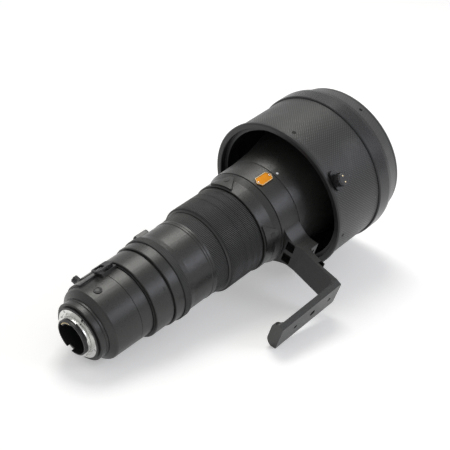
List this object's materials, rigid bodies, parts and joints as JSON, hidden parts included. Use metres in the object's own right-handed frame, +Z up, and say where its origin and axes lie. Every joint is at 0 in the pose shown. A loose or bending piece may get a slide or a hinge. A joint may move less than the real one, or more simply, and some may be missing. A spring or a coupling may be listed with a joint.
{
  "type": "super telephoto camera lens",
  "caption": "Black super telephoto lens lying down, with its carbon hood stored reversed over the front, a ribbed focus ring and a turning tripod foot",
  "frame": {"origin": "centre of the mount flange's rear face, on the optical axis", "axes": "+Y is the optical axis towards the front glass, +Z is up as the lens lies rolled on its side, +X is to the right seen from behind, where the foot reaches out and a little down"},
  "size_m": [0.2238, 0.4354, 0.1878],
  "materials": {
    "black_barrel": "satin",
    "black_smooth": "semi gloss",
    "hood_carbon": "satin",
    "grip_rubber": "matt",
    "mount_chrome": "polished",
    "screw_steel": "satin",
    "black_plastic": "matt",
    "gold_plate": "satin",
    "contact_gold": "polished",
    "lens_glass": "polished",
    "inner_black": "matt"
  },
  "bodies": {
    "lens_body": {"mount_flange": "mount_chrome", "mount_screws": "screw_steel", "mount_gasket": "grip_rubber", "mount_shroud": "black_plastic", "contact_block": "black_plastic", "contact_pins": "contact_gold", "mount_neck": "black_barrel", "rear_body": "black_barrel", "strap_lugs": "black_smooth", "main_tube": "inner_black", "collar_sleeve": "black_barrel", "mid_barrel": "black_barrel", "band_ring": "black_barrel", "switch_panel": "black_smooth", "scale_barrel": "black_barrel", "window_frame": "black_smooth", "window_pane": "lens_glass", "button_ring": "black_barrel", "collar_bearing": "screw_steel", "front_barrel": "black_barrel", "front_bezel": "black_smooth", "front_ring": "black_smooth", "front_glass": "lens_glass", "main_cell": "inner_black", "guide_rods": "screw_steel", "vr_unit": "inner_black", "iris_unit": "inner_black", "rear_group": "inner_black"},
    "memory_cap": {"memory_button": "black_smooth"},
    "filter_drawer": {"filter_holder": "black_barrel", "filter_glass": "lens_glass"},
    "filter_lock": {"filter_knob": "black_smooth"},
    "slider_1": {"switch_1": "black_plastic"},
    "slider_2": {"switch_2": "black_plastic"},
    "slider_3": {"switch_3": "black_plastic"},
    "vr_selector": {"vr_ring": "black_barrel"},
    "scale_drum": {"distance_scale": "inner_black"},
    "preset_turner": {"preset_ring": "black_barrel", "preset_grip": "grip_rubber"},
    "focus_turner": {"focus_ring": "black_barrel", "focus_grip": "grip_rubber"},
    "focusing_group": {"focus_cell": "inner_black", "focus_glass": "lens_glass"},
    "button_1": {"function_button_1": "grip_rubber"},
    "button_2": {"function_button_2": "grip_rubber"},
    "button_3": {"function_button_3": "grip_rubber"},
    "button_4": {"function_button_4": "grip_rubber"},
    "collar_and_foot": {"tripod_collar": "black_barrel", "badge_plate": "gold_plate", "tripod_foot": "black_barrel", "foot_screws": "screw_steel"},
    "collar_lock": {"lock_knob": "grip_rubber"},
    "hood": {"hood_tube": "hood_carbon", "hood_rim": "grip_rubber", "hood_band": "black_smooth", "hood_collar": "hood_carbon", "hood_screws": "black_smooth", "hood_clamp_base": "black_smooth"},
    "hood_lock": {"hood_clamp_screw": "black_smooth"},
    "hood_lock_shoe": {"hood_clamp_shoe": "grip_rubber"}
  },
  "joints": [
    {"name": "focus_turn", "type": "hinge", "parent": "lens_body", "child": "focus_turner", "pos_m": [0, 0.198, 0], "axis": [0, 1, 0], "range_deg": [0, 160]},
    {"name": "focus_shift", "type": "slide", "parent": "lens_body", "child": "focusing_group", "axis": [0, 1, 0], "range_m": [0, 0.0181]},
    {"name": "scale_turn", "type": "hinge", "parent": "lens_body", "child": "scale_drum", "pos_m": [0, 0.131, 0], "axis": [0, 1, 0], "range_deg": [0, 49]},
    {"name": "preset_turn", "type": "hinge", "parent": "lens_body", "child": "preset_turner", "pos_m": [0, 0.1615, 0], "axis": [0, 1, 0], "range_deg": [-12, 12], "stiffness_Nm_per_rad": 0.4},
    {"name": "vr_turn", "type": "hinge", "parent": "lens_body", "child": "vr_selector", "pos_m": [0, 0.1107, 0], "axis": [0, 1, 0], "range_deg": [0, 40]},
    {"name": "collar_turn", "type": "hinge", "parent": "lens_body", "child": "collar_and_foot", "pos_m": [0, 0.2643, 0], "axis": [0, 1, 0], "continuous": true},
    {"name": "collar_lock_turn", "type": "hinge", "parent": "collar_and_foot", "child": "collar_lock", "pos_m": [-0.02353, 0.2643, -0.05823], "axis": [-0.3746, 0, -0.9272], "range_deg": [0, 90]},
    {"name": "hood_slide", "type": "slide", "parent": "lens_body", "child": "hood", "axis": [0, 1, 0], "range_m": [0, 0.125]},
    {"name": "hood_lock_turn", "type": "hinge", "parent": "hood", "child": "hood_lock", "pos_m": [0.08487, 0.3165, 0.04269], "axis": [0.8934, 0, 0.4493], "range_deg": [0, 360]},
    {"name": "hood_shoe_shift", "type": "slide", "parent": "hood", "child": "hood_lock_shoe", "axis": [0.8934, 0, 0.4493], "range_m": [0, 0.0011]},
    {"name": "filter_pull", "type": "slide", "parent": "lens_body", "child": "filter_drawer", "axis": [-0.9272, 0, 0.3746], "range_m": [0, 0.066]},
    {"name": "filter_lock_turn", "type": "hinge", "parent": "filter_drawer", "child": "filter_lock", "pos_m": [-0.04154, 0.0445, 0.01678], "axis": [-0.9272, 0, 0.3746], "range_deg": [0, 90]},
    {"name": "memory_press", "type": "slide", "parent": "lens_body", "child": "memory_cap", "axis": [-0.225, 0, -0.9744], "range_m": [0, 0.001], "stiffness_N_per_m": 300},
    {"name": "slider_1_shift", "type": "slide", "parent": "lens_body", "child": "slider_1", "axis": [0.9272, 0, -0.3746], "range_m": [-0.0025, 0.0025]},
    {"name": "slider_2_shift", "type": "slide", "parent": "lens_body", "child": "slider_2", "axis": [0.9272, 0, -0.3746], "range_m": [-0.0025, 0.0025]},
    {"name": "slider_3_shift", "type": "slide", "parent": "lens_body", "child": "slider_3", "axis": [0.9272, 0, -0.3746], "range_m": [-0.0025, 0.0025]},
    {"name": "button_1_press", "type": "slide", "parent": "lens_body", "child": "button_1", "axis": [0.0872, 0, -0.9962], "range_m": [0, 0.001], "stiffness_N_per_m": 300},
    {"name": "button_2_press", "type": "slide", "parent": "lens_body", "child": "button_2", "axis": [0.9962, 0, 0.0872], "range_m": [0, 0.001], "stiffness_N_per_m": 300},
    {"name": "button_3_press", "type": "slide", "parent": "lens_body", "child": "button_3", "axis": [-0.0872, 0, 0.9962], "range_m": [0, 0.001], "stiffness_N_per_m": 300},
    {"name": "button_4_press", "type": "slide", "parent": "lens_body", "child": "button_4", "axis": [-0.9962, 0, -0.0872], "range_m": [0, 0.001], "stiffness_N_per_m": 300}
  ],
  "couplings": [
    {"joint": "focus_shift", "follows": "focus_turn", "m_per_rad": 0.006446},
    {"joint": "scale_turn", "follows": "focus_turn", "ratio": 0.3}
  ]
}
